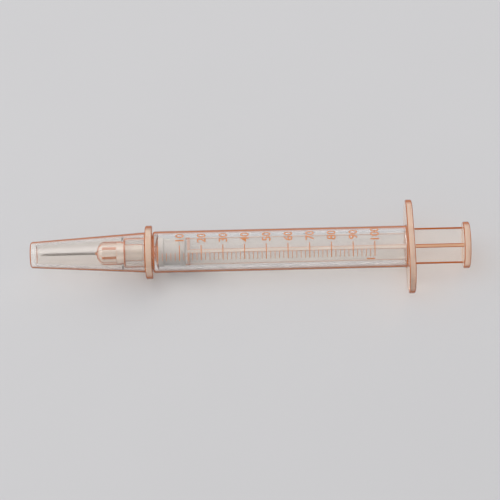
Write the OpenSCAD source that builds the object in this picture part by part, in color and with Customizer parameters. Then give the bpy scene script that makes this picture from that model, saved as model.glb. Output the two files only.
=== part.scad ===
// One-millilitre insulin syringe with a fixed needle under its shield, plunger fully in.
// The syringe lies on its finger flange and on the collar of its shield, with its axis along +X
// from the shield's closed tip to the thumb plate. The origin is under the middle of its length
// and width, on the surface that it lies on.

/* [Barrel] */
// Bore of the barrel, of which 40 mm hold one millilitre
bore_d = 5.64; // [4.8:0.02:6.4]
// Wall of the barrel tube
barrel_wall = 1.08; // [0.8:0.02:1.3]
// Stroke from the 0 line to the full line of the printed scale
scale_l = 40; // [30:0.5:60]
// From the front shoulder of the tube to the 0 line
zero_inset = 1; // [0.8:0.05:2]
// From the full line to the finger flange
flange_inset = 6.08; // [4:0.02:12]
// Width of the front shoulder round the nose
shoulder_w = 1.085; // [0.7:0.005:1.3]
// Length of the nose that the needle hub is set in
nose_l = 5.34; // [4.4:0.02:8]
// Solid wall of the nose behind the hub's socket
nose_web = 1.7; // [1:0.05:2.5]
// Depth of the cone that closes the bore in front
face_cone_l = 0.7; // [0.4:0.05:1]
// Diameter of the fluid channel through the nose
channel_d = 0.8; // [0.6:0.05:1.2]
// Height of the bead that keeps the piston in the bore
bead_h = 0.15; // [0.1:0.01:0.2]
// Length of that bead along the bore
bead_l = 0.8; // [0.5:0.05:1.2]
// From that bead to the rear face
bead_inset = 0.7; // [0.5:0.05:2]
// Chamfer of the bore's rear mouth
mouth_lead = 0.3; // [0.15:0.05:0.5]

/* [Finger flange] */
// Length of the finger flange, across the syringe
flange_l = 19.1; // [15:0.1:24]
// Thickness of the finger flange
flange_t = 1.25; // [0.9:0.05:2]
// Rounding of the flange's edges
flange_round = 0.3; // [0.1:0.05:0.4]

/* [Needle] */
// Outer diameter of the needle tube
needle_d = 0.45; // [0.3:0.01:0.6]
// Wall of the needle tube
needle_wall = 0.09; // [0.06:0.01:0.12]
// Length of needle in front of its hub
needle_out = 10.47; // [6:0.01:16]
// Angle of the long bevel to the needle's axis
bevel_angle = 12; // [10:1:18]
// Angle of the two short facets that make the point
facet_angle = 19; // [16:1:26]
// Turn of each short facet round the needle
facet_turn = 38; // [25:1:50]

/* [Needle hub] */
// Length of the hub in front of the nose
hub_l = 5.16; // [4:0.02:7]
// How much smaller the hub's radius is than the nose's
hub_step = 0.615; // [0.5:0.005:0.9]
// Length of the domed front
dome_l = 1.5; // [1:0.05:2]
// Number of ribs round the hub
rib_count = 8; // [6:1:12]
// Width of one rib
rib_w = 0.42; // [0.3:0.02:0.6]
// Height of one rib over the hub's core
rib_h = 0.22; // [0.12:0.01:0.35]
// Plain band behind the ribs
band_l = 1.4; // [0.8:0.05:2]
// Diameter of the spigot in the nose
spigot_d = 3.2; // [2.4:0.05:3.6]
// Mouth of the glue well round the needle
well_d = 1.3; // [1:0.05:1.6]
// Depth of the glue well
well_l = 1.1; // [0.6:0.05:1.6]
// Length of glue that creeps up the needle
meniscus_l = 0.35; // [0.15:0.05:0.6]

/* [Needle shield] */
// Diameter of the closed tip
tip_d = 4.94; // [4.7:0.02:6]
// Wall of the tapered part
shield_wall = 0.8; // [0.6:0.02:0.9]
// Wall round the nose
grip_wall = 0.92; // [0.8:0.02:1.2]
// Thickness of the closed end
end_t = 0.9; // [0.5:0.05:1.5]
// Free space in front of the needle's point
point_space = 0.9; // [0.5:0.05:3]
// Diameter of the collar round the open end
collar_d = 10; // [9.6:0.1:12]
// Thickness of the collar
collar_t = 1.35; // [1:0.05:2]
// Rounding of the collar's edges
collar_round = 0.3; // [0.1:0.05:0.4]
// Rounding of the closed tip
tip_round = 0.45; // [0.2:0.05:0.6]
// Chamfer of the open mouth
shield_lead = 0.35; // [0.3:0.05:0.5]

/* [Piston] */
// Length of the piston behind its front edge
piston_l = 5; // [4.4:0.1:7]
// Width of each sealing lip
lip_w = 0.9; // [0.5:0.05:1.2]
// Depth of the waist between the lips
waist_h = 0.35; // [0.2:0.05:0.6]

/* [Plunger rod] */
// Rod that shows between flange and thumb plate with the plunger in
rod_out = 9.17; // [8:0.01:16]
// Thickness of the rod's crossed webs
web_t = 0.7; // [0.5:0.05:1]
// Chamfer along the outer edges of the webs
web_edge = 0.12; // [0.05:0.01:0.2]
// How far the wide webs of the thumb end stand over the bore's radius
stop_h = 0.53; // [0.3:0.01:0.8]
// Gap between those webs and the flange, so that the piston seats first
stop_gap = 0.3; // [0.1:0.05:1]
// Thickness of the disc behind the piston
disc_t = 0.8; // [0.5:0.05:1.5]
// Diameter of the head held in the piston
head_d = 2.8; // [2.2:0.05:3.4]
// Length of that head
head_l = 1.6; // [1:0.05:2]
// Diameter of the neck behind the head
neck_d = 1.6; // [1.2:0.05:2]
// Length of the neck
neck_l = 1.1; // [0.8:0.05:1.6]
// Diameter of the thumb plate
plate_d = 8.7; // [8.4:0.1:9.6]
// Thickness of the thumb plate
plate_t = 1.26; // [0.9:0.02:2.5]
// Rounding of the thumb plate's edges
plate_round = 0.3; // [0.1:0.05:0.4]
// Number of grip rings in the thumb plate
ring_count = 3; // [1:1:4]
// Depth of one grip ring
ring_h = 0.15; // [0.05:0.01:0.25]
// Width of one grip ring
ring_w = 0.4; // [0.2:0.02:0.5]
// Turn of the rod in the barrel
rod_turn = 34.6; // [0:0.1:90]

/* [Clearances] */
// Radial clearance of the piston in the bore and of the shield on the nose
run_gap = 0.03; // [0.01:0.01:0.06]
// Radial clearance of the rod inside the bead
rod_gap = 0.07; // [0.03:0.01:0.1]
// Clearance all round the rod's head in the piston
head_gap = 0.05; // [0.02:0.01:0.1]
// Gap between faces that meet end to end
seat_gap = 0.05; // [0.02:0.01:0.1]
// Layer of glue between hub, nose and needle
glue_gap = 0.02; // [0.01:0.01:0.04]

/* [Hidden] */
$fn = 96;
arc_steps = 6;
overrun = 0.5;

// Radii, from the bore outwards and from the nose forwards
bore_r = bore_d / 2;
barrel_r = bore_r + barrel_wall;
nose_r = barrel_r - shoulder_w;
hub_r = nose_r - hub_step;
core_r = hub_r - rib_h;
spigot_r = spigot_d / 2;
socket_r = spigot_r + glue_gap;
channel_r = channel_d / 2;
needle_r = needle_d / 2;
hole_r = needle_r + glue_gap;
well_r = well_d / 2;
grip_r = nose_r + run_gap;
root_r = grip_r + grip_wall;
tip_r = tip_d / 2;
collar_r = collar_d / 2;
piston_r = bore_r - run_gap;
rod_r = bore_r - bead_h - rod_gap;
stop_r = bore_r + stop_h;
head_r = head_d / 2;
neck_r = neck_d / 2;
plate_r = plate_d / 2;
// The flange is as deep as the collar, so that the syringe lies level on both
flange_r = collar_r;
axis_h = collar_r;

// Places along the axis, from the outside of the shield's tip
needle_at = end_t + point_space;
hub_at = needle_at + needle_out;
nose_at = hub_at + hub_l;
shoulder_at = nose_at + nose_l;
zero_at = shoulder_at + zero_inset;
flange_at = zero_at + scale_l + flange_inset;
rear_at = flange_at + flange_t;
plate_at = rear_at + rod_out;
total_l = plate_at + plate_t;
piston_at = zero_at + seat_gap;
disc_at = piston_at + piston_l + seat_gap;

// Lengths that follow from those places
shield_l = shoulder_at - seat_gap;
spigot_l = nose_l - nose_web;
socket_l = spigot_l + glue_gap;
cone_slope = face_cone_l / (bore_r - channel_r);

// Small rounds and ramps, as shares of the step that carries them
root_fillet = shoulder_w * 0.2;
shoulder_round = shoulder_w * 0.45;
nose_round = (nose_r - socket_r) * 0.2;
flange_fillet = (flange_r - barrel_r) * 0.35;
collar_fillet = (collar_r - root_r) * 0.2;
bead_crest_shares = [0.3, 0.7];
web_reach_share = 0.96;
head_nose_share = 0.45;
head_rim_share = 0.3;
ring_span_share = 0.82;

// Points along an arc about a centre, from one angle to another
function arc(centre, r, from, to) =
    [for (i = [0 : arc_steps]) let (a = from + (to - from) * i / arc_steps) centre + r * [cos(a), sin(a)]];

// Half of a round dome's outline, from a given radius out to its full one
function dome(r, from_r) =
    let (start = asin(from_r / r))
    [for (i = [0 : arc_steps]) let (a = start + (90 - start) * i / arc_steps) [r * sin(a), dome_l * (1 - cos(a))]];

// Half outline of a plate with rounded edges, from its front edge to its rear one
function plate_edge(r, t, edge) =
    concat(arc([r - edge, edge], edge, -90, 0), arc([r - edge, t - edge], edge, 0, 90));

// Inside radius of the shield's tapered part, at a distance from its tip
function shield_in_r(at) = tip_r + (root_r - tip_r) * at / (shield_l - collar_t) - shield_wall;

// Stands a piece that is drawn along +Z on the syringe's axis, at a distance from the tip
module on_axis(at) {
    translate([at - total_l / 2, 0, axis_h])
        rotate([0, 90, 0])
            children();
}

module turned(points) {
    rotate_extrude()
        polygon(points);
}

// Flat plate with two straight sides and two round ends, drawn upwards from its front face
module oval_plate(l, r, t, edge) {
    half = plate_edge(r, t, edge);
    for (side = [0, 180])
        rotate([0, 0, side])
            translate([0, l / 2 - r, 0])
                rotate_extrude(angle = 180)
                    polygon(concat([[0, 0]], half, [[0, t]]));
    rotate([90, 0, 0])
        linear_extrude(l - 2 * r, center = true)
            polygon(concat(half, [for (i = [len(half) - 1 : -1 : 0]) [-half[i][0], half[i][1]]]));
}

module barrel() {
    flange_z = flange_at - nose_at;
    rear_z = rear_at - nose_at;
    zero_z = zero_at - nose_at;
    bead_z = rear_z - bead_inset - bead_l;
    color([0.93, 0.91, 0.89, 0.5])
        on_axis(nose_at) {
            turned(concat(
                [[socket_r + nose_round, 0]],
                arc([nose_r - nose_round, nose_round], nose_round, -90, 0),
                arc([nose_r + root_fillet, nose_l - root_fillet], root_fillet, 180, 90),
                arc([barrel_r - shoulder_round, nose_l + shoulder_round], shoulder_round, -90, 0),
                arc([barrel_r + flange_fillet, flange_z - flange_fillet], flange_fillet, 180, 90),
                [[barrel_r + flange_fillet, rear_z],
                 [bore_r + mouth_lead, rear_z],
                 [bore_r, rear_z - mouth_lead],
                 [bore_r, bead_z + bead_l],
                 [bore_r - bead_h, bead_z + bead_l * bead_crest_shares[1]],
                 [bore_r - bead_h, bead_z + bead_l * bead_crest_shares[0]],
                 [bore_r, bead_z],
                 [bore_r, zero_z],
                 [channel_r, zero_z - face_cone_l],
                 [channel_r, socket_l],
                 [socket_r, socket_l],
                 [socket_r, nose_round]]));
            translate([0, 0, flange_z])
                difference() {
                    oval_plate(flange_l, flange_r, flange_t, flange_round);
                    translate([0, 0, -overrun])
                        cylinder(r = barrel_r, h = flange_t + 2 * overrun);
                }
        }
}

module needle_hub() {
    rib_end = hub_l - band_l;
    rib_in_r = well_r + rib_h / 2;
    rib_angle = 2 * asin(rib_w / 2 / hub_r);
    pitch = 360 / rib_count;
    core = dome(core_r, rib_in_r);
    rear = hub_l + spigot_l;
    color([0.92, 0.86, 0.80, 0.8])
        on_axis(hub_at)
            rotate([0, 0, rod_turn - pitch / 2])
                difference() {
                    turned(concat(
                        dome(hub_r, well_r),
                        [[hub_r, hub_l],
                         [spigot_r, hub_l],
                         [spigot_r, rear - nose_round],
                         [spigot_r - nose_round, rear],
                         [hole_r, rear],
                         [hole_r, well_l]]));
                    for (i = [0 : rib_count - 1])
                        rotate([0, 0, pitch * i + rib_angle / 2])
                            rotate_extrude(angle = pitch - rib_angle)
                                polygon(concat(
                                    core,
                                    [[core_r, rib_end],
                                     [hub_r + overrun, rib_end + rib_h],
                                     [hub_r + overrun, -overrun],
                                     [rib_in_r, -overrun]]));
                }
}

// One ground face of the needle's point, turned round the needle
module ground_face(turn, angle) {
    rotate([0, 0, turn])
        translate([needle_r * cos(turn), 0, 0])
            rotate([0, -angle, 0])
                translate([-2 * needle_d, -needle_d, -needle_d])
                    cube([2 * needle_d, 2 * needle_d, needle_d / sin(angle) + 2 * needle_d]);
}

module needle_cannula() {
    l = needle_out + hub_l + spigot_l;
    color([0.72, 0.73, 0.75])
        on_axis(needle_at)
            difference() {
                cylinder(r = needle_r, h = l);
                translate([0, 0, -overrun])
                    cylinder(r = needle_r - needle_wall, h = l + 2 * overrun);
                ground_face(0, bevel_angle);
                ground_face(facet_turn, facet_angle);
                ground_face(-facet_turn, facet_angle);
            }
}

// Glue in the well round the needle, with a hollow surface where it creeps up the tube
module hub_adhesive() {
    in_r = needle_r + glue_gap / 2;
    mouth_z = dome(hub_r, well_r)[0][1];
    creep = well_r - glue_gap - in_r;
    color([0.95, 0.80, 0.62, 0.8])
        on_axis(hub_at)
            turned(concat(
                [for (p = arc([1, 0], 1, 180, 90)) [in_r + creep * p[0], mouth_z - meniscus_l * (1 - p[1])]],
                [[in_r + glue_gap / 4, well_l - glue_gap],
                 [in_r, well_l - glue_gap]]));
}

module needle_shield() {
    grip_z = nose_at - seat_gap;
    in_round_z = end_t + tip_round;
    color([0.90, 0.50, 0.20, 0.5])
        on_axis(0)
            turned(concat(
                [[0, 0]],
                arc([tip_r - tip_round, tip_round], tip_round, -90, 0),
                arc([root_r + collar_fillet, shield_l - collar_t - collar_fillet], collar_fillet, 180, 90),
                arc([collar_r - collar_round, shield_l - collar_t + collar_round], collar_round, -90, 0),
                arc([collar_r - collar_round, shield_l - collar_round], collar_round, 0, 90),
                [[grip_r + shield_lead, shield_l],
                 [grip_r, shield_l - shield_lead],
                 [grip_r, grip_z],
                 [shield_in_r(grip_z - shield_lead), grip_z - shield_lead]],
                arc([shield_in_r(in_round_z) - tip_round, in_round_z], tip_round, 0, -90),
                [[0, end_t]]));
}

module piston() {
    head_z = piston_l + seat_gap - neck_l;
    color([0.55, 0.53, 0.52])
        on_axis(piston_at)
            turned(concat(
                [[0, -cone_slope * piston_r]],
                [[piston_r, 0]],
                arc([piston_r, lip_w + waist_h], waist_h, -90, -180),
                arc([piston_r, piston_l - lip_w - waist_h], waist_h, 180, 90),
                [[piston_r, piston_l - waist_h / 2],
                 [piston_r - waist_h / 2, piston_l],
                 [neck_r + head_gap, piston_l],
                 [neck_r + head_gap, head_z + head_gap],
                 [head_r + head_gap, head_z + head_gap],
                 [head_r + head_gap, head_z - head_l * head_rim_share],
                 [head_r * head_nose_share + head_gap, head_z - head_l - head_gap],
                 [0, head_z - head_l - head_gap]]));
}

// Section through the crossed webs: four arms that end at the reach, with chamfered corners
module crossed_webs(reach) {
    half = web_t / 2;
    for (turn = [0, 90])
        rotate([0, 0, turn])
            polygon([
                [-reach, half - web_edge], [-reach, web_edge - half],
                [web_edge - reach, -half], [reach - web_edge, -half],
                [reach, web_edge - half], [reach, half - web_edge],
                [reach - web_edge, half], [web_edge - reach, half]]);
}

// The webs are wide where they show and narrow enough inside to pass the bead
module plunger_rod() {
    rings = [for (i = [ring_count : -1 : 1]) plate_r * ring_span_share * i / ring_count];
    in_reach = sqrt(pow(rod_r * web_reach_share, 2) - pow(web_t / 2 - web_edge, 2));
    stop_z = rear_at + stop_gap - disc_at;
    end_z = plate_at + plate_t / 2 - disc_at;
    color([0.93, 0.78, 0.66, 0.8])
        on_axis(disc_at)
            rotate([0, 0, rod_turn]) {
                turned([
                    [0, -neck_l - head_l],
                    [head_r * head_nose_share, -neck_l - head_l],
                    [head_r, -neck_l - head_l * head_rim_share],
                    [head_r, -neck_l],
                    [neck_r, -neck_l],
                    [neck_r, 0],
                    [rod_r, 0],
                    [rod_r, disc_t],
                    [0, disc_t]]);
                translate([0, 0, disc_t / 2])
                    linear_extrude(stop_z)
                        crossed_webs(in_reach);
                translate([0, 0, stop_z])
                    linear_extrude(end_z - stop_z)
                        crossed_webs(stop_r);
                translate([0, 0, plate_at - disc_at])
                    turned(concat(
                        [[0, 0]],
                        plate_edge(plate_r, plate_t, plate_round),
                        [for (r = rings, side = [1, 0, -1])
                            [r - ring_w / 2 + side * ring_w / 2, plate_t - (side == 0 ? ring_h : 0)]],
                        [[0, plate_t]]));
            }
}

barrel();
needle_hub();
needle_cannula();
hub_adhesive();
needle_shield();
piston();
plunger_rod();
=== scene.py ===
import math
from typing import NamedTuple

import bpy
from bpy.props import FloatProperty, FloatVectorProperty, IntProperty, PointerProperty
from mathutils import Euler, Matrix, Quaternion, Vector


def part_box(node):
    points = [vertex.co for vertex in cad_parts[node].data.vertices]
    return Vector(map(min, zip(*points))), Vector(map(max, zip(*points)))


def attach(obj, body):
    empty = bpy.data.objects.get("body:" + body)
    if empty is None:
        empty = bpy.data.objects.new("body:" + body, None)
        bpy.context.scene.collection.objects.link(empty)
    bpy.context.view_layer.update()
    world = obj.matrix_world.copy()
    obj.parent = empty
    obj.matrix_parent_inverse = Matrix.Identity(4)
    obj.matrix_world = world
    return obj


bl_info = {
    "name": "Insulin syringe dresser",
    "version": (1, 0, 0),
    "blender": (4, 5, 0),
    "location": "3D View > Sidebar > Syringe",
    "description": "Gives a built insulin syringe its finishes, printed scale and studio",
    "category": "Object",
}

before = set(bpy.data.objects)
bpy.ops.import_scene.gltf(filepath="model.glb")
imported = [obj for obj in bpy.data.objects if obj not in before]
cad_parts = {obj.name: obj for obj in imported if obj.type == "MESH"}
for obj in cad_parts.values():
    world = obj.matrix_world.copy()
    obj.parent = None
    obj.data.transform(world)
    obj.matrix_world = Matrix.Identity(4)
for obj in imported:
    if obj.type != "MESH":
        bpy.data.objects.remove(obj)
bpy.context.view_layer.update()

# Places that the print and the finishes are measured from, all taken from the built pieces.
BARREL_LOW, BARREL_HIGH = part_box("barrel")
HUB_LOW, HUB_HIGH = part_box("needle_hub")
SHIELD_LOW, SHIELD_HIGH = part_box("needle_shield")
ROD_LOW, ROD_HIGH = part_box("plunger_rod")
AXIS_Z = (BARREL_LOW.z + BARREL_HIGH.z) / 2
AXIS_Y = (BARREL_LOW.y + BARREL_HIGH.y) / 2
MIDDLE = Vector((0, 0, AXIS_Z))
FAR = 1.0  # beyond either end of the syringe

# How a clear moulding shows its tint. A lean is how much of a face's normal lies along the axis:
# none on a long wall, all of it on a flat end.
HAZE = 0.09  # clearness that a wall loses where it is met from inside
EDGE_CLEAR = 0.1  # clearness that is left at an edge
ZONE_FADE = 0.0001  # over which a thick part begins, going out from the axis
RIM_ROOT = 0.0027  # how far from the axis the colour of a flange or a collar starts
RIM_CLEAR = 0.6  # clearness of a rim that is seen through its whole depth
DEEP_CLEAR = 0.3  # clearness of the ribs, the wide webs' edges and the nose's rim
ROUND_END = (0.9, 0.99)  # leans between which a rounded edge runs out into a flat end
FLAT_END = 0.97  # lean from which a face is a flat end
EVERY_WALL = 2.0  # more than any face leans
NO_ROUNDS = (2.0, 3.0)  # leans that no face has
EDGE_ON = (0.38, 0.62)  # from met edge on to met squarely enough to stay clear
LEAST_ACROSS = 0.05  # keeps a look straight down the axis from dividing by nothing
CORNER = (0.00015, 0.0001)  # how far inside a web's face its corner line begins and is full
PIN_RING = 0.000035  # half the width of the ring that a pin leaves

# How the print is set, cut and laid on.
DIGIT_SHARE = 0.72  # a digit's height as a share of its type size
DIGIT_SPACE = 0.98  # between digits, as a share of the usual space
DIGIT_STEPS = 3  # pieces that each curve of a digit is drawn with
INK_SPREAD = 0.00001  # how far ink creeps out of a digit's outline
ONE_BACK = 0.0008  # how far the plain 1 stands off the full line, towards the needle
STRIP = 0.00015  # width of the strips that follow the barrel's curve
MERGE = 1e-7  # points closer than this become one

FLOOR_SIZE = 6.0
SENSOR = 36.0  # in millimetres, as the lens is


def linear(code):
    """Turns an sRGB hex colour into the linear red, green and blue that the shaders take."""
    parts = [int(code[i : i + 2], 16) / 255 for i in (1, 3, 5)]
    return [p / 12.92 if p <= 0.04045 else ((p + 0.055) / 1.055) ** 2.4 for p in parts]


def colour_property(name, description, code):
    """A colour that the user can change, with its default given in hex."""
    return FloatVectorProperty(
        name=name,
        description=description,
        subtype="COLOR",
        size=3,
        min=0,
        max=1,
        default=linear(code),
    )


def length_property(name, description, millimetres, least=0.0):
    """A length that the user can change, kept in metres and given in millimetres."""
    return FloatProperty(
        name=name,
        description=description,
        unit="LENGTH",
        subtype="DISTANCE",
        precision=5,
        min=least,
        default=millimetres / 1000,
    )


def angle_property(name, description, degrees):
    """An angle round the barrel, from straight up towards the side that faces the camera."""
    return FloatProperty(
        name=name,
        description=description,
        unit="ROTATION",
        subtype="ANGLE",
        default=math.radians(degrees),
    )


class SyringePrint(bpy.types.PropertyGroup):
    """The scale that is printed on the barrel."""

    barrel_radius: length_property(
        "Barrel radius", "Outside radius of the tube that carries the print", 3.9, 0.0005
    )
    zero_x: FloatProperty(
        name="Zero line",
        description="Place of the 0 line along the syringe",
        unit="LENGTH",
        precision=5,
        default=-0.016995,
    )
    ten_step: length_property(
        "Ten units", "Distance from one numbered line to the next", 4.0, 0.0001
    )
    tens: IntProperty(
        name="Numbered steps",
        description="How many steps of ten units the scale has",
        default=10,
        min=1,
        max=20,
    )
    short_between: IntProperty(
        name="Short lines",
        description="Short lines between two numbered ones",
        default=4,
        min=1,
        max=9,
    )
    long_width: length_property(
        "Long line width", "Width of a numbered line along the axis", 0.16, 0.00001
    )
    short_width: length_property(
        "Short line width", "Width of a short line along the axis", 0.09, 0.00001
    )
    ink_out: length_property("Ink height", "How far the ink stands proud of the barrel", 0.012)
    ink_in: length_property("Ink depth", "How far the ink has bitten into the barrel", 0.02)
    far_angle: angle_property("Far end", "Where a numbered line starts, seen along the axis", 17.6)
    near_angle: angle_property("Near end", "Where a numbered line ends, seen along the axis", 59.4)
    short_angle: angle_property(
        "Short start", "Where a short line starts, seen along the axis", 38.5
    )
    numeral_height: length_property(
        "Numeral height", "Height of a numeral, along the axis", 1.63, 0.0001
    )
    numeral_angle: angle_property(
        "Numeral middle", "Where the middle of a numeral lies round the barrel", -5.0
    )
    one_angle: angle_property(
        "Millilitre mark", "Where the plain 1 at the full line lies round the barrel", 67.0
    )


class SyringeFinish(bpy.types.PropertyGroup):
    """The colours of the mouldings, the steel, the rubber and the ink, and how the webs stand."""

    edge_orange: colour_property(
        "Edge orange", "Colour that a clear moulding gathers at its edges", "#b25c1c"
    )
    thick_peach: colour_property(
        "Thick peach", "Colour of a rim that is seen through its whole depth", "#f3dcc9"
    )
    web_orange: colour_property(
        "Web edge", "Colour of the rod's webs where they are seen edge on", "#e9b996"
    )
    web_peach: colour_property(
        "Inner web edge", "Colour of the rod's narrower webs at their edges", "#f5e8dc"
    )
    barrel_clear: colour_property("Barrel", "Clarified polypropylene of the barrel", "#fefdfc")
    shield_clear: colour_property(
        "Needle shield", "Tinted polyethylene of the needle shield", "#fdf9f5"
    )
    hub_natural: colour_property("Hub", "Natural polypropylene of the hub", "#f6ede4")
    rod_peach: colour_property("Plunger rod", "Lightly tinted polypropylene of the rod", "#fefaf6")
    rubber_grey: colour_property("Piston", "Synthetic rubber of the piston", "#bdb7b2")
    steel_bright: colour_property("Needle", "Stainless steel of the needle", "#98948f")
    glue_amber: colour_property("Glue", "Cured adhesive round the needle", "#e9b878")
    ink_orange: colour_property("Ink", "Ink of the scale and its numerals", "#d2854f")
    web_turn: angle_property(
        "Web turn", "How far the rod is turned, from straight up towards the camera's side", 34.6
    )


class SyringeStage(bpy.types.PropertyGroup):
    """The floor, the lamps and the camera."""

    floor_grey: colour_property("Floor", "Plain pale grey of the floor", "#cecdce")
    key_power: FloatProperty(
        name="Key lamp",
        description="Power of the large soft lamp",
        unit="POWER",
        default=3.8,
        min=0,
    )
    fill_power: FloatProperty(
        name="Fill lamp",
        description="Power of the low lamp at the side",
        unit="POWER",
        default=0.7,
        min=0,
    )
    sky: FloatProperty(
        name="Sky", description="Strength of the even light from all round", default=0.5, min=0
    )
    camera_rise: angle_property(
        "Camera rise", "How far the camera stands above the floor's level", 55.4
    )
    camera_roll: angle_property(
        "Camera roll", "How far the syringe's axis rises to the right in the picture", 1.36
    )
    camera_distance: length_property(
        "Camera distance", "From the camera to the syringe's middle", 413.0, 0.01
    )
    lens: FloatProperty(
        name="Lens",
        description="Focal length in millimetres on a 36 mm sensor",
        default=160.0,
        min=10,
    )


def add(tree, kind, links=None, values=None, **settings):
    """Adds one node. Settings go to the node or to its input of that name, values to inputs by
    number, and links take sockets."""
    made = tree.nodes.new(kind)
    for name, value in settings.items():
        if hasattr(made, name):
            setattr(made, name, value)
        else:
            made.inputs[name.replace("_", " ")].default_value = value
    for key, value in (values or {}).items():
        made.inputs[key].default_value = value
    for key, source in (links or {}).items():
        tree.links.new(source, made.inputs[key])
    return made


def new_material(name):
    """An empty node material and its output node."""
    made = bpy.data.materials.new(name)
    made.use_nodes = True
    made.node_tree.nodes.clear()
    return made, made.node_tree, add(made.node_tree, "ShaderNodeOutputMaterial")


def wear(node, material):
    """Puts a material on a built piece."""
    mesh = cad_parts[node].data
    mesh.materials.clear()
    mesh.materials.append(material)


def rgba(colour):
    """A property's colour with full alpha, as a socket takes it."""
    return (*colour, 1.0)


def see_through(tree, out, gloss, shade):
    """Lets lamps shine through a clear moulding with the shade it casts, and shows its gloss to
    every other ray."""
    path = add(tree, "ShaderNodeLightPath")
    through = add(tree, "ShaderNodeBsdfTransparent", Color=rgba(shade))
    both = add(
        tree,
        "ShaderNodeMixShader",
        {0: path.outputs["Is Shadow Ray"], 1: gloss.outputs["BSDF"], 2: through.outputs["BSDF"]},
    )
    tree.links.new(both.outputs[0], out.inputs["Surface"])


class Zone(NamedTuple):
    """A thick part of a clear moulding, where its colour gathers: both its ends along the axis, how
    far from the axis it starts, its colour and how clear it is."""

    first: float
    last: float
    least: float
    colour: tuple
    clear: float


class Webs(NamedTuple):
    """A rod's crossed webs: their turn round the axis, half their thickness, and the share of a
    corner's line that their narrower stretch shows."""

    turn: float
    half: float
    share: float


def thicken(tree, place, outward, zones, tint, clearness):
    """Gives each thick part its colour and clearness. Returns both, with how far each part
    reaches."""
    apart = add(tree, "ShaderNodeSeparateXYZ", {"Vector": place})
    radius = add(tree, "ShaderNodeVectorMath", {0: outward}, operation="LENGTH")
    reaches = []
    for zone in zones:
        wide = add(
            tree,
            "ShaderNodeMapRange",
            {"Value": radius.outputs["Value"]},
            From_Min=zone.least,
            From_Max=zone.least + ZONE_FADE,
        )
        after = add(
            tree,
            "ShaderNodeMath",
            {0: apart.outputs["X"]},
            {1: zone.first},
            operation="GREATER_THAN",
        )
        before = add(
            tree, "ShaderNodeMath", {0: apart.outputs["X"]}, {1: zone.last}, operation="LESS_THAN"
        )
        along = add(
            tree,
            "ShaderNodeMath",
            {0: after.outputs[0], 1: before.outputs[0]},
            operation="MULTIPLY",
        )
        reach = add(
            tree,
            "ShaderNodeMath",
            {0: wide.outputs["Result"], 1: along.outputs[0]},
            operation="MULTIPLY",
        ).outputs[0]
        tint = add(
            tree,
            "ShaderNodeMix",
            {"Factor": reach, 6: tint},
            {7: rgba(zone.colour)},
            data_type="RGBA",
        ).outputs[2]
        clearness = add(
            tree,
            "ShaderNodeMix",
            {"Factor": reach, 2: clearness},
            {3: zone.clear},
            data_type="FLOAT",
        ).outputs[0]
        reaches.append(reach)
    return tint, clearness, reaches


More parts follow.
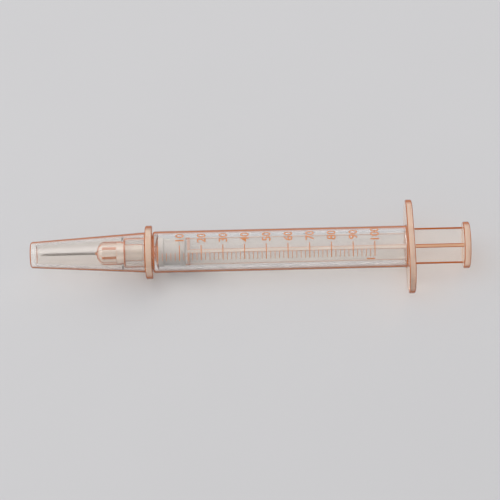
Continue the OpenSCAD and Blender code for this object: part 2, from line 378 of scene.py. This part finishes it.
def edge_lines(tree, normal, outward, from_inside, rounds, fade, still):
    """How strongly a clear moulding gathers its tint: where a rounded edge turns, and where a wall
    is met edge on."""
    # A rounded edge bends light along the wall and shows its colour as a line. Its normal lies
    # between the axis and square to it.
    lean = add(tree, "ShaderNodeSeparateXYZ", {"Vector": normal})
    leaning = add(tree, "ShaderNodeMath", {0: lean.outputs["X"]}, operation="ABSOLUTE").outputs[0]
    rising = add(
        tree, "ShaderNodeMapRange", {"Value": leaning}, From_Min=rounds[0], From_Max=rounds[1]
    )
    falling = add(
        tree,
        "ShaderNodeMapRange",
        {"Value": leaning},
        From_Min=ROUND_END[0],
        From_Max=ROUND_END[1],
        To_Min=1.0,
        To_Max=0.0,
    )
    both = add(
        tree,
        "ShaderNodeMath",
        {0: rising.outputs["Result"], 1: falling.outputs["Result"]},
        operation="MULTIPLY",
    )
    faded = add(
        tree, "ShaderNodeMath", {0: from_inside}, {1: -fade, 2: 1.0}, operation="MULTIPLY_ADD"
    )
    turned = add(
        tree, "ShaderNodeMath", {0: both.outputs[0], 1: faded.outputs[0]}, operation="MULTIPLY"
    )
    # How squarely a wall is met is taken in the section across the axis, so that a long wall stays
    # clear when it is seen endwise too.
    rim = add(tree, "ShaderNodeLayerWeight", Blend=0.5)
    axis = add(
        tree,
        "ShaderNodeVectorTransform",
        None,
        {0: (1, 0, 0)},
        convert_from="OBJECT",
        convert_to="WORLD",
    )
    endwise = add(tree, "ShaderNodeLayerWeight", {"Normal": axis.outputs[0]}, Blend=0.5)
    square_on = add(
        tree, "ShaderNodeMath", {1: rim.outputs["Facing"]}, {0: 1.0}, operation="SUBTRACT"
    )
    down_axis = add(
        tree, "ShaderNodeMath", {1: endwise.outputs["Facing"]}, {0: 1.0}, operation="SUBTRACT"
    )
    squared = add(tree, "ShaderNodeMath", {0: down_axis.outputs[0]}, {1: 2.0}, operation="POWER")
    rest = add(tree, "ShaderNodeMath", {1: squared.outputs[0]}, {0: 1.0}, operation="SUBTRACT")
    crosswise = add(tree, "ShaderNodeMath", {0: rest.outputs[0]}, {1: 0.5}, operation="POWER")
    divisor = add(
        tree, "ShaderNodeMath", {0: crosswise.outputs[0]}, {1: LEAST_ACROSS}, operation="MAXIMUM"
    )
    in_section = add(
        tree, "ShaderNodeMath", {0: square_on.outputs[0], 1: divisor.outputs[0]}, operation="DIVIDE"
    )
    grazed = add(
        tree,
        "ShaderNodeMapRange",
        {"Value": in_section.outputs[0]},
        From_Min=EDGE_ON[0],
        From_Max=EDGE_ON[1],
        To_Min=1.0,
        To_Max=0.0,
    )
    # Met from inside or across a hollow, a long wall stays clear, and only a step across the axis
    # shows as a line.
    long_wall = add(tree, "ShaderNodeMath", {0: leaning}, {1: still}, operation="LESS_THAN")
    faces = add(
        tree, "ShaderNodeVectorMath", {0: normal, 1: outward}, operation="DOT_PRODUCT"
    ).outputs["Value"]
    faces_axis = add(tree, "ShaderNodeMath", {0: faces}, {1: 0.0}, operation="LESS_THAN")
    inner = add(
        tree, "ShaderNodeMath", {0: from_inside, 1: faces_axis.outputs[0]}, operation="MAXIMUM"
    )
    unseen = add(
        tree, "ShaderNodeMath", {0: inner.outputs[0], 1: long_wall.outputs[0]}, operation="MULTIPLY"
    )
    lined = add(
        tree,
        "ShaderNodeMath",
        {0: grazed.outputs["Result"], 1: unseen.outputs[0]},
        operation="SUBTRACT",
        use_clamp=True,
    )
    # A flat end is seen through its whole wall at any slant, so it keeps its own colour.
    not_end = add(tree, "ShaderNodeMath", {0: leaning}, {1: FLAT_END}, operation="LESS_THAN")
    edgewise = add(
        tree, "ShaderNodeMath", {0: lined.outputs[0], 1: not_end.outputs[0]}, operation="MULTIPLY"
    )
    return add(
        tree, "ShaderNodeMath", {0: turned.outputs[0], 1: edgewise.outputs[0]}, operation="MAXIMUM"
    ).outputs[0]


def web_corners(tree, outward, webs, narrow, wide):
    """Lines along the corners of crossed webs: in full on their wide stretch, by a share on the
    narrow one."""
    sides = []
    for way in (
        (0, -math.sin(webs.turn), math.cos(webs.turn)),
        (0, math.cos(webs.turn), math.sin(webs.turn)),
    ):
        out_of_web = add(
            tree, "ShaderNodeVectorMath", {0: outward}, {1: way}, operation="DOT_PRODUCT"
        )
        sides.append(
            add(
                tree, "ShaderNodeMath", {0: out_of_web.outputs["Value"]}, operation="ABSOLUTE"
            ).outputs[0]
        )
    nearer = add(tree, "ShaderNodeMath", {0: sides[0], 1: sides[1]}, operation="MINIMUM")
    corner = add(
        tree,
        "ShaderNodeMapRange",
        {"Value": nearer.outputs[0]},
        From_Min=webs.half - CORNER[0],
        From_Max=webs.half - CORNER[1],
    )
    shown = add(
        tree,
        "ShaderNodeMath",
        {0: narrow, 2: wide},
        {1: webs.share},
        operation="MULTIPLY_ADD",
        use_clamp=True,
    )
    return add(
        tree,
        "ShaderNodeMath",
        {0: corner.outputs["Result"], 1: shown.outputs[0]},
        operation="MULTIPLY",
    ).outputs[0]


def tool_marks(tree, place, grain, pins):
    """The relief that the polished steel leaves on a moulding."""
    # Only a slow waviness of a few microns is left, about 2 mm from crest to crest.
    height = add(
        tree, "ShaderNodeTexNoise", {"Vector": place}, Scale=grain, Detail=2.0
    ).outputs["Fac"]
    # The end of an ejector pin or of the gate prints a ring 0.07 mm wide and a hundredth of a
    # millimetre deep.
    for centre, radius in pins:
        away = add(tree, "ShaderNodeVectorMath", {0: place}, {1: centre}, operation="DISTANCE")
        ring = add(
            tree,
            "ShaderNodeMath",
            {0: away.outputs["Value"]},
            {1: radius, 2: PIN_RING},
            operation="COMPARE",
        )
        height = add(
            tree, "ShaderNodeMath", {0: height, 1: ring.outputs[0]}, operation="SUBTRACT"
        ).outputs[0]
    return add(
        tree, "ShaderNodeBump", {"Height": height}, Strength=0.3, Distance=0.00003
    ).outputs["Normal"]


def clear_moulding(
    name,
    face,
    edge,
    shade,
    rough,
    clear,
    grain,
    zones=(),
    rounds=(0.3, 0.6),
    webs=None,
    fade=1.0,
    pins=(),
    still=0.15,
):
    """Clear or tinted polymer, injection moulded: nearly colourless face on, with its tint gathered
    at its edges.

    face, edge and shade are its colours face on, at an edge and in the lamplight that it lets
    through. rough is its least roughness, clear how clear it is and grain the scale of its
    waviness. rounds are the leans at which the line of a rounded edge starts and is full, and fade
    is the share of it that is lost where it is met from inside. A wall that leans less than still
    shows no line from inside. With webs, the last two zones are their narrow and wide stretches.
    Each of the pins is the centre and the radius of a ring that the tool has left."""
    made, tree, out = new_material(name)
    coordinates = add(tree, "ShaderNodeTexCoord")
    place = coordinates.outputs["Object"]
    # Melt flows away from the gate along the axis, and leaves faint long streaks about 0.7 mm
    # apart.
    long_way = add(tree, "ShaderNodeMapping", {"Vector": place}, Scale=(0.12, 1.0, 1.0))
    streaks = add(
        tree,
        "ShaderNodeTexNoise",
        {"Vector": long_way.outputs[0]},
        Scale=1400.0,
        Detail=3.0,
        Roughness=0.55,
    )
    tint = add(
        tree,
        "ShaderNodeMix",
        {"Factor": streaks.outputs["Fac"]},
        {6: rgba(face), 7: rgba([c * 0.94 for c in face])},
        data_type="RGBA",
    ).outputs[2]
    # Handling marks are fine lines along the axis; real ones are a few microns wide and are drawn
    # at 0.1 mm to show.
    fine_way = add(tree, "ShaderNodeMapping", {"Vector": place}, Scale=(0.05, 1.0, 1.0))
    marks = add(
        tree,
        "ShaderNodeTexNoise",
        {"Vector": fine_way.outputs[0]},
        Scale=9000.0,
        Detail=4.0,
        Roughness=0.7,
    )
    gloss_range = add(
        tree,
        "ShaderNodeMapRange",
        {"Value": marks.outputs["Fac"]},
        From_Min=0.35,
        From_Max=0.7,
        To_Min=rough,
        To_Max=rough + 0.07,
    )
    # The polymer's own haze shows on walls met from inside, where the light has gone furthest
    # through it.
    from_inside = add(tree, "ShaderNodeNewGeometry").outputs["Backfacing"]
    clearness = add(
        tree, "ShaderNodeMath", {0: from_inside}, {1: -HAZE, 2: clear}, operation="MULTIPLY_ADD"
    ).outputs[0]
    # The way out from the axis, square to it.
    off_axis = add(
        tree, "ShaderNodeVectorMath", {0: place}, {1: (0, AXIS_Y, AXIS_Z)}, operation="SUBTRACT"
    )
    outward = add(
        tree, "ShaderNodeVectorMath", {0: off_axis.outputs[0]}, {1: (0, 1, 1)}, operation="MULTIPLY"
    ).outputs[0]
    if zones:
        tint, clearness, reaches = thicken(tree, place, outward, zones, tint, clearness)
    normal = coordinates.outputs["Normal"]
    gathered = edge_lines(tree, normal, outward, from_inside, rounds, fade, still)
    if webs:
        corners = web_corners(tree, outward, webs, *reaches[-2:])
        gathered = add(
            tree, "ShaderNodeMath", {0: gathered, 1: corners}, operation="MAXIMUM"
        ).outputs[0]
    tinted = add(
        tree, "ShaderNodeMix", {"Factor": gathered, 6: tint}, {7: rgba(edge)}, data_type="RGBA"
    )
    # At an edge the tint scatters instead of letting the floor through, so that the outline stays
    # coloured from any side.
    solid = add(
        tree,
        "ShaderNodeMix",
        {"Factor": gathered, 2: clearness},
        {3: EDGE_CLEAR},
        data_type="FLOAT",
    )
    gloss = add(
        tree,
        "ShaderNodeBsdfPrincipled",
        {
            "Base Color": tinted.outputs[2],
            "Roughness": gloss_range.outputs["Result"],
            "Transmission Weight": solid.outputs[0],
            "Normal": tool_marks(tree, place, grain, pins),
        },
        IOR=1.49,
    )
    see_through(tree, out, gloss, shade)
    return made


def ground_steel(colour):
    """Stainless steel 304, drawn through a die and ground at the tip, which leaves fine lines along
    the tube."""
    made, tree, out = new_material("stainless_steel_drawn_and_ground")
    place = add(tree, "ShaderNodeTexCoord").outputs["Object"]
    # Die lines run along the tube. Real ones are a few microns apart and are drawn 0.04 mm apart to
    # show.
    along = add(tree, "ShaderNodeMapping", {"Vector": place}, Scale=(0.01, 1.0, 1.0))
    lines = add(tree, "ShaderNodeTexNoise", {"Vector": along.outputs[0]}, Scale=25000.0, Detail=3.0)
    rough = add(
        tree,
        "ShaderNodeMapRange",
        {"Value": lines.outputs["Fac"]},
        From_Min=0.3,
        From_Max=0.7,
        To_Min=0.24,
        To_Max=0.4,
    )
    darker = [c * 0.72 for c in colour]
    shade = add(
        tree,
        "ShaderNodeMix",
        {"Factor": lines.outputs["Fac"]},
        {6: rgba(colour), 7: rgba(darker)},
        data_type="RGBA",
    )
    relief = add(
        tree, "ShaderNodeBump", {"Height": lines.outputs["Fac"]}, Strength=0.35, Distance=0.000004
    )
    steel = add(
        tree,
        "ShaderNodeBsdfPrincipled",
        {
            "Base Color": shade.outputs[2],
            "Roughness": rough.outputs["Result"],
            "Normal": relief.outputs["Normal"],
        },
        Metallic=1.0,
    )
    tree.links.new(steel.outputs["BSDF"], out.inputs["Surface"])
    return made


def moulded_rubber(colour):
    """Bromobutyl rubber, compression moulded and siliconised: a soft grey with a fine matt grain
    and a faint oily sheen."""
    made, tree, out = new_material("butyl_rubber_siliconised")
    place = add(tree, "ShaderNodeTexCoord").outputs["Object"]
    # The filler gives faint clouds about 1 mm across, and the tool's blasted wall a grain of about
    # 0.08 mm.
    clouds = add(tree, "ShaderNodeTexNoise", {"Vector": place}, Scale=1100.0, Detail=4.0)
    grain = add(
        tree, "ShaderNodeTexNoise", {"Vector": place}, Scale=12000.0, Detail=3.0, Roughness=0.6
    )
    light, dark = [min(1, c * 1.12) for c in colour], [c * 0.86 for c in colour]
    shade = add(
        tree,
        "ShaderNodeMix",
        {"Factor": clouds.outputs["Fac"]},
        {6: rgba(dark), 7: rgba(light)},
        data_type="RGBA",
    )
    rough = add(
        tree,
        "ShaderNodeMapRange",
        {"Value": clouds.outputs["Fac"]},
        From_Min=0.3,
        From_Max=0.7,
        To_Min=0.42,
        To_Max=0.6,
    )
    relief = add(
        tree, "ShaderNodeBump", {"Height": grain.outputs["Fac"]}, Strength=0.6, Distance=0.00002
    )
    rubber = add(
        tree,
        "ShaderNodeBsdfPrincipled",
        {
            "Base Color": shade.outputs[2],
            "Roughness": rough.outputs["Result"],
            "Normal": relief.outputs["Normal"],
        },
        IOR=1.52,
        Sheen_Weight=0.15,
    )
    tree.links.new(rubber.outputs["BSDF"], out.inputs["Surface"])
    return made


def printed_ink(colour):
    """Screen-printed two-part ink: opaque orange with a slightly uneven film and a satin face."""
    made, tree, out = new_material("screen_printed_ink")
    place = add(tree, "ShaderNodeTexCoord").outputs["Object"]
    # The mesh of the screen leaves the film thicker and thinner about every 0.15 mm.
    film = add(tree, "ShaderNodeTexNoise", {"Vector": place}, Scale=6500.0, Detail=2.0)
    thick, thin = [c * 0.85 for c in colour], [min(1, c * 1.15) for c in colour]
    shade = add(
        tree,
        "ShaderNodeMix",
        {"Factor": film.outputs["Fac"]},
        {6: rgba(thick), 7: rgba(thin)},
        data_type="RGBA",
    )
    rough = add(
        tree, "ShaderNodeMapRange", {"Value": film.outputs["Fac"]}, To_Min=0.35, To_Max=0.55
    )
    relief = add(
        tree, "ShaderNodeBump", {"Height": film.outputs["Fac"]}, Strength=0.4, Distance=0.000008
    )
    ink = add(
        tree,
        "ShaderNodeBsdfPrincipled",
        {
            "Base Color": shade.outputs[2],
            "Roughness": rough.outputs["Result"],
            "Normal": relief.outputs["Normal"],
        },
    )
    tree.links.new(ink.outputs["BSDF"], out.inputs["Surface"])
    return made


def only(item):
    """Selects one object, and nothing else, and makes it active."""
    bpy.ops.object.select_all(action="DESELECT")
    item.select_set(True)
    bpy.context.view_layer.objects.active = item


def settle(item, name):
    """Names a finished piece and puts its place into its mesh."""
    only(item)
    bpy.ops.object.transform_apply(location=True, rotation=True, scale=True)
    item.name = name
    item.data.name = name


def spun_line(name, x, width, first, last, steps, spec):
    """One printed line: a small flat section, spun round the barrel's axis from one angle to the
    other."""
    low = spec.barrel_radius - spec.ink_in
    high = spec.barrel_radius + spec.ink_out
    bpy.ops.object.select_all(action="DESELECT")
    bpy.ops.mesh.primitive_plane_add(size=1.0, location=(0, 0, 0))
    line = bpy.context.active_object
    bpy.ops.object.mode_set(mode="EDIT")
    bpy.ops.mesh.select_all(action="SELECT")
    bpy.ops.transform.resize(value=(width, high - low, 1.0))
    # The section stands in the plane through the axis, at the first angle from straight up towards
    # the camera's side.
    bpy.ops.transform.rotate(value=-math.pi / 2, orient_axis="X", center_override=(0, 0, 0))
    middle = (low + high) / 2
    bpy.ops.transform.translate(value=(x, 0, middle))
    bpy.ops.transform.rotate(value=-first, orient_axis="X", center_override=(0, 0, 0))
    bpy.ops.mesh.spin(steps=steps, angle=last - first, center=(x, 0, 0), axis=(-1, 0, 0))
    bpy.ops.mesh.select_all(action="SELECT")
    bpy.ops.mesh.remove_doubles(threshold=MERGE)
    bpy.ops.mesh.normals_make_consistent(inside=False)
    bpy.ops.object.mode_set(mode="OBJECT")
    line.location = (0, AXIS_Y, AXIS_Z)
    settle(line, name)
    return line


def repeat(item, count, step):
    """Repeats a line along the axis and keeps the result in its mesh."""
    only(item)
    rows = item.modifiers.new("Rows", "ARRAY")
    rows.use_relative_offset = False
    rows.use_constant_offset = True
    rows.constant_offset_displace = (step, 0, 0)
    rows.count = count
    bpy.ops.object.modifier_apply(modifier=rows.name)


class SYRINGE_OT_barrel(bpy.types.Operator):
    """Finish the barrel and its finger flange as clear moulded polypropylene"""

    bl_idname = "syringe.barrel"
    bl_label = "Barrel"

    def execute(self, context):
        finish = context.scene.syringe_finish
        # The flange is the last 1.25 mm of the barrel, and stands out from its root.
        flange = Zone(
            first=BARREL_HIGH.x - 0.0013,
            last=FAR,
            least=RIM_ROOT,
            colour=finish.thick_peach,
            clear=RIM_CLEAR,
        )
        # The nose ends in a narrow rim that the hub sits against, and light leaves it all round.
        nose_rim = Zone(
            first=-FAR,
            last=BARREL_LOW.x + 0.0003,
            least=0.0,
            colour=finish.edge_orange,
            clear=DEEP_CLEAR,
        )
        # Two ejector pins have pushed on the flange's rear face, one on each side.
        pins = [((BARREL_HIGH.x, AXIS_Y + side * 0.0068, AXIS_Z), 0.0009) for side in (-1, 1)]
        made = clear_moulding(
            "clarified_polypropylene_moulded",
            face=finish.barrel_clear,
            edge=finish.edge_orange,
            shade=linear("#fcfbfa"),
            rough=0.03,
            clear=1.0,
            grain=500.0,
            zones=[flange, nose_rim],
            fade=0.6,
            pins=pins,
        )
        wear("barrel", made)
        return {"FINISHED"}


class SYRINGE_OT_shield(bpy.types.Operator):
    """Finish the needle shield as thin tinted moulded polyethylene"""

    bl_idname = "syringe.shield"
    bl_label = "Needle shield"

    def execute(self, context):
        finish = context.scene.syringe_finish
        # The collar is the last 1.35 mm of the shield.
        collar = Zone(
            first=SHIELD_HIGH.x - 0.0014,
            last=FAR,
            least=RIM_ROOT,
            colour=finish.thick_peach,
            clear=RIM_CLEAR,
        )
        # Its closed tip is thick, and a little cloudy where the tool was gated. The wall is so thin
        # that none of it shows a line from inside.
        tip = Zone(
            first=-FAR, last=SHIELD_LOW.x + 0.0012, least=0.0, colour=finish.shield_clear, clear=0.8
        )
        made = clear_moulding(
            "tinted_polyethylene_moulded",
            face=finish.shield_clear,
            edge=finish.edge_orange,
            shade=linear("#fcfbfa"),
            rough=0.04,
            clear=1.0,
            grain=600.0,
            zones=[collar, tip],
            pins=[((SHIELD_LOW.x, AXIS_Y, AXIS_Z), 0.0006)],
            still=EVERY_WALL,
        )
        wear("needle_shield", made)
        return {"FINISHED"}


class SYRINGE_OT_hub(bpy.types.Operator):
    """Finish the needle hub as natural moulded polypropylene"""

    bl_idname = "syringe.hub"
    bl_label = "Needle hub"

    def execute(self, context):
        finish = context.scene.syringe_finish
        # The ribs stand out from the hub's core, and their tops are the thickest of it.
        ribs = Zone(
            first=HUB_LOW.x + 0.001,
            last=BARREL_LOW.x - 0.0014,
            least=HUB_HIGH.z - AXIS_Z - 0.00015,
            colour=finish.edge_orange,
            clear=DEEP_CLEAR,
        )
        # Only the ribs show as lines, and none of the hub's rounded edges.
        made = clear_moulding(
            "natural_polypropylene_moulded",
            face=finish.hub_natural,
            edge=finish.edge_orange,
            shade=linear("#f9f7f5"),
            rough=0.14,
            clear=0.6,
            grain=900.0,
            zones=[ribs],
            rounds=NO_ROUNDS,
        )
        wear("needle_hub", made)
        return {"FINISHED"}


class SYRINGE_OT_glue(bpy.types.Operator):
    """Finish the cured glue that holds the needle in its hub"""

    bl_idname = "syringe.glue"
    bl_label = "Hub glue"

    def execute(self, context):
        finish = context.scene.syringe_finish
        made = clear_moulding(
            "cured_acrylic_adhesive",
            face=finish.glue_amber,
            edge=finish.edge_orange,
            shade=linear("#f3e7d4"),
            rough=0.04,
            clear=0.9,
            grain=2500.0,
        )
        wear("hub_adhesive", made)
        return {"FINISHED"}


class SYRINGE_OT_needle(bpy.types.Operator):
    """Finish the needle tube as drawn and ground stainless steel"""

    bl_idname = "syringe.needle"
    bl_label = "Needle"

    def execute(self, context):
        wear("needle_cannula", ground_steel(context.scene.syringe_finish.steel_bright))
        return {"FINISHED"}


class SYRINGE_OT_piston(bpy.types.Operator):
    """Finish the piston as moulded, siliconised rubber"""

    bl_idname = "syringe.piston"
    bl_label = "Piston"

    def execute(self, context):
        wear("piston", moulded_rubber(context.scene.syringe_finish.rubber_grey))
        return {"FINISHED"}


class SYRINGE_OT_rod(bpy.types.Operator):
    """Finish the plunger rod and its thumb plate as lightly tinted moulded polypropylene"""

    bl_idname = "syringe.rod"
    bl_label = "Plunger rod"

    def execute(self, context):
        finish = context.scene.syringe_finish
        # The thumb plate is the last 1.26 mm of the rod, and thick right in to the axis.
        plate_x = ROD_HIGH.x - 0.0013
        plate = Zone(
            first=plate_x, last=FAR, least=-0.001, colour=finish.thick_peach, clear=RIM_CLEAR
        )
        # Behind the flange the webs are wider, and their edges are seen through a web's whole
        # depth.
        wide_x = BARREL_HIGH.x + 0.0003
        wide = Zone(
            first=wide_x, last=plate_x, least=0.003, colour=finish.web_orange, clear=DEEP_CLEAR
        )
        # Inside the barrel they are narrower, and only faintly deeper at their edges.
        narrow = Zone(
            first=ROD_LOW.x + 0.003, last=wide_x, least=0.0023, colour=finish.web_peach, clear=0.5
        )
        made = clear_moulding(
            "tinted_polypropylene_moulded",
            face=finish.rod_peach,
            edge=finish.edge_orange,
            shade=linear("#faf9f7"),
            rough=0.08,
            clear=0.92,
            grain=700.0,
            zones=[plate, narrow, wide],
            webs=Webs(turn=finish.web_turn, half=0.00035, share=0.55),
        )
        wear("plunger_rod", made)
        return {"FINISHED"}


class SYRINGE_OT_scale_lines(bpy.types.Operator):
    """Print the long lines at every ten units and the short ones between them"""

    bl_idname = "syringe.scale_lines"
    bl_label = "Scale lines"

    def execute(self, context):
        spec = context.scene.syringe_print
        ink = printed_ink(context.scene.syringe_finish.ink_orange)
        unit = spec.ten_step / (spec.short_between + 1)
        long_lines = spun_line(
            "scale_long_lines",
            spec.zero_x,
            spec.long_width,
            spec.far_angle,
            spec.near_angle,
            steps=12,
            spec=spec,
        )
        repeat(long_lines, spec.tens + 1, spec.ten_step)
        short_lines = spun_line(
            "scale_short_lines",
            spec.zero_x + unit,
            spec.short_width,
            spec.short_angle,
            spec.near_angle,
            steps=6,
            spec=spec,
        )
        repeat(short_lines, spec.short_between, unit)
        repeat(short_lines, spec.tens, spec.ten_step)
        for piece in (long_lines, short_lines):
            piece.data.materials.append(ink)
            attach(piece, "barrel")
        return {"FINISHED"}


def flat_numeral(body, x, angle, spec):
    """One numeral as a flat film in the X-Z plane, where X goes round the barrel and Z along it."""
    bpy.ops.object.select_all(action="DESELECT")
    bpy.ops.object.text_add()
    word = bpy.context.active_object
    film = (spec.ink_in + spec.ink_out) / 2
    word.data.body = body
    word.data.align_x = "CENTER"
    word.data.size = spec.numeral_height / DIGIT_SHARE
    word.data.space_character = DIGIT_SPACE
    word.data.resolution_u = DIGIT_STEPS
    word.data.offset = INK_SPREAD
    word.data.extrude = film
    only(word)
    bpy.ops.object.convert(target="MESH")
    word.rotation_euler = Euler((math.pi / 2, 0, 0))
    bpy.ops.object.transform_apply(location=True, rotation=True, scale=True)
    # Turned half round in its plane, so that it reads with its head to the needle.
    word.rotation_euler = Euler((0, math.pi, 0))
    round_x = angle * (spec.barrel_radius - spec.ink_in)
    word.location = (round_x, -film, x + spec.numeral_height / 2)
    bpy.ops.object.transform_apply(location=True, rotation=True, scale=True)
    return word


def wrap(film, radius):
    """Cuts a flat film into strips and bends it to the barrel's curve."""
    bpy.ops.object.mode_set(mode="EDIT")
    bpy.ops.mesh.select_all(action="SELECT")
    bpy.ops.mesh.remove_doubles(threshold=MERGE)
    places = [v.co.x for v in film.data.vertices]
    cuts = int((max(places) - min(places)) / STRIP)
    for i in range(1, cuts):
        bpy.ops.mesh.select_all(action="SELECT")
        bpy.ops.mesh.bisect(plane_co=(min(places) + i * STRIP, 0, 0), plane_no=(1, 0, 0))
    bpy.ops.object.mode_set(mode="OBJECT")
    places = [v.co.x for v in film.data.vertices]
    bend = film.modifiers.new("Wrap", "SIMPLE_DEFORM")
    bend.deform_method = "BEND"
    bend.deform_axis = "Z"
    bend.angle = (max(places) - min(places)) / radius
    bpy.ops.object.modifier_apply(modifier=bend.name)
    # The bend's own X, Y and Z become the syringe's -Y, -Z and X.
    film.matrix_world = Matrix(
        ((0, 0, 1, 0), (-1, 0, 0, AXIS_Y), (0, -1, 0, AXIS_Z + radius), (0, 0, 0, 1))
    )


class SYRINGE_OT_numerals(bpy.types.Operator):
    """Print the numerals beside the long lines and the plain 1 at the full line"""

    bl_idname = "syringe.numerals"
    bl_label = "Numerals"

    def execute(self, context):
        spec = context.scene.syringe_print
        wanted = []
        for i in range(1, spec.tens + 1):
            wanted.append((str(10 * i), spec.zero_x + i * spec.ten_step, spec.numeral_angle))
        wanted.append(("1", spec.zero_x + spec.tens * spec.ten_step - ONE_BACK, spec.one_angle))
        made = [flat_numeral(body, x, angle, spec) for body, x, angle in wanted]
        bpy.ops.object.select_all(action="DESELECT")
        for word in made:
            word.select_set(True)
        context.view_layer.objects.active = made[0]
        bpy.ops.object.join()
        print_film = context.view_layer.objects.active
        wrap(print_film, spec.barrel_radius - spec.ink_in)
        settle(print_film, "scale_numerals")
        print_film.data.materials.clear()
        print_film.data.materials.append(bpy.data.materials["screen_printed_ink"])
        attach(print_film, "barrel")
        return {"FINISHED"}


def lay_floor(spec):
    """A wide plain board, painted."""
    bpy.ops.object.select_all(action="DESELECT")
    bpy.ops.mesh.primitive_plane_add(size=FLOOR_SIZE, location=(0, 0, 0))
    floor = bpy.context.active_object
    settle(floor, "studio_floor")
    made, tree, out = new_material("painted_studio_floor")
    place = add(tree, "ShaderNodeTexCoord").outputs["Object"]
    # Matt emulsion on a board: no more than a faint unevenness of tone, some 40 mm across.
    tone = add(tree, "ShaderNodeTexNoise", {"Vector": place}, Scale=25.0, Detail=2.0)
    dark, light = [c * 0.985 for c in spec.floor_grey], [min(1, c * 1.015) for c in spec.floor_grey]
    shade = add(
        tree,
        "ShaderNodeMix",
        {"Factor": tone.outputs["Fac"]},
        {6: rgba(dark), 7: rgba(light)},
        data_type="RGBA",
    )
    paint = add(tree, "ShaderNodeBsdfPrincipled", {"Base Color": shade.outputs[2]}, Roughness=0.85)
    tree.links.new(paint.outputs["BSDF"], out.inputs["Surface"])
    floor.data.materials.append(made)


def hang_lamp(name, place, width, power):
    """A round soft lamp that faces the middle of the syringe."""
    bpy.ops.object.select_all(action="DESELECT")
    bpy.ops.object.light_add(type="AREA", location=place)
    lamp = bpy.context.active_object
    lamp.name = name
    lamp.data.shape = "DISK"
    lamp.data.size = width
    lamp.data.energy = power
    lamp.rotation_mode = "QUATERNION"
    lamp.rotation_quaternion = (MIDDLE - Vector(place)).to_track_quat("-Z", "Y")


def light_sky(scene, spec):
    """Even light from all round, which the camera, glass and gloss see in the floor's own grey."""
    world = bpy.data.worlds.new("even_studio_sky")
    world.use_nodes = True
    scene.world = world
    tree = world.node_tree
    tree.nodes.clear()
    path = add(tree, "ShaderNodeLightPath")
    looked = add(
        tree,
        "ShaderNodeMath",
        {0: path.outputs["Is Camera Ray"], 1: path.outputs["Is Transmission Ray"]},
        operation="MAXIMUM",
    )
    seen = add(
        tree,
        "ShaderNodeMath",
        {0: looked.outputs[0], 1: path.outputs["Is Glossy Ray"]},
        operation="MAXIMUM",
    )
    lit = add(tree, "ShaderNodeBackground", Color=rgba(linear("#fcfdff")), Strength=spec.sky)
    wall = add(tree, "ShaderNodeBackground", Color=rgba(spec.floor_grey), Strength=1.0)
    both = add(
        tree, "ShaderNodeMixShader", {0: seen.outputs[0], 1: lit.outputs[0], 2: wall.outputs[0]}
    )
    end = add(tree, "ShaderNodeOutputWorld")
    tree.links.new(both.outputs[0], end.inputs["Surface"])


def aim_camera(scene, spec):
    """A long lens on the middle of the syringe, from the angle that the photograph was taken at."""
    rise = spec.camera_rise
    place = Vector((0, -math.cos(rise), math.sin(rise))) * spec.camera_distance + MIDDLE
    bpy.ops.object.select_all(action="DESELECT")
    bpy.ops.object.camera_add(location=place)
    camera = bpy.context.active_object
    camera.name = "studio_camera"
    camera.data.lens = spec.lens
    camera.data.sensor_width = SENSOR
    camera.data.clip_start = 0.01
    camera.data.clip_end = 10.0
    camera.rotation_mode = "QUATERNION"
    aim = (MIDDLE - place).to_track_quat("-Z", "Y")
    camera.rotation_quaternion = aim @ Quaternion((0, 0, 1), -spec.camera_roll)
    scene.camera = camera


class SYRINGE_OT_stage(bpy.types.Operator):
    """Lay the floor, hang the lamps and set up the camera"""

    bl_idname = "syringe.stage"
    bl_label = "Stage"

    def execute(self, context):
        spec = context.scene.syringe_stage
        lay_floor(spec)
        hang_lamp("key_lamp", place=(-0.48, 0.0, 0.6), width=0.9, power=spec.key_power)
        hang_lamp("fill_lamp", place=(0.35, 0.3, 0.3), width=0.3, power=spec.fill_power)
        light_sky(context.scene, spec)
        aim_camera(context.scene, spec)
        context.scene.view_settings.view_transform = "Standard"
        return {"FINISHED"}


class SYRINGE_PT_pieces(bpy.types.Panel):
    """Lists the syringe's pieces and its stage in the sidebar"""

    bl_idname = "SYRINGE_PT_pieces"
    bl_label = "Insulin syringe"
    bl_space_type = "VIEW_3D"
    bl_region_type = "UI"
    bl_category = "Syringe"

    def draw(self, context):
        column = self.layout.column(align=True)
        for operator in OPERATORS:
            column.operator(operator.bl_idname)


OPERATORS = (
    SYRINGE_OT_barrel,
    SYRINGE_OT_shield,
    SYRINGE_OT_hub,
    SYRINGE_OT_glue,
    SYRINGE_OT_needle,
    SYRINGE_OT_piston,
    SYRINGE_OT_rod,
    SYRINGE_OT_scale_lines,
    SYRINGE_OT_numerals,
    SYRINGE_OT_stage,
)
SETTINGS = (
    ("syringe_print", SyringePrint),
    ("syringe_finish", SyringeFinish),
    ("syringe_stage", SyringeStage),
)


def register():
    for name, group in SETTINGS:
        bpy.utils.register_class(group)
        setattr(bpy.types.Scene, name, PointerProperty(type=group))
    for item in (*OPERATORS, SYRINGE_PT_pieces):
        bpy.utils.register_class(item)


def unregister():
    for item in reversed((*OPERATORS, SYRINGE_PT_pieces)):
        bpy.utils.unregister_class(item)
    for name, group in reversed(SETTINGS):
        delattr(bpy.types.Scene, name)
        bpy.utils.unregister_class(group)


def main():
    """Registers the classes, and makes every piece and the stage in order."""
    register()
    bpy.ops.syringe.barrel()
    bpy.ops.syringe.shield()
    bpy.ops.syringe.hub()
    bpy.ops.syringe.glue()
    bpy.ops.syringe.needle()
    bpy.ops.syringe.piston()
    bpy.ops.syringe.rod()
    bpy.ops.syringe.scale_lines()
    bpy.ops.syringe.numerals()
    bpy.ops.syringe.stage()


if __name__ == "__main__":
    main()
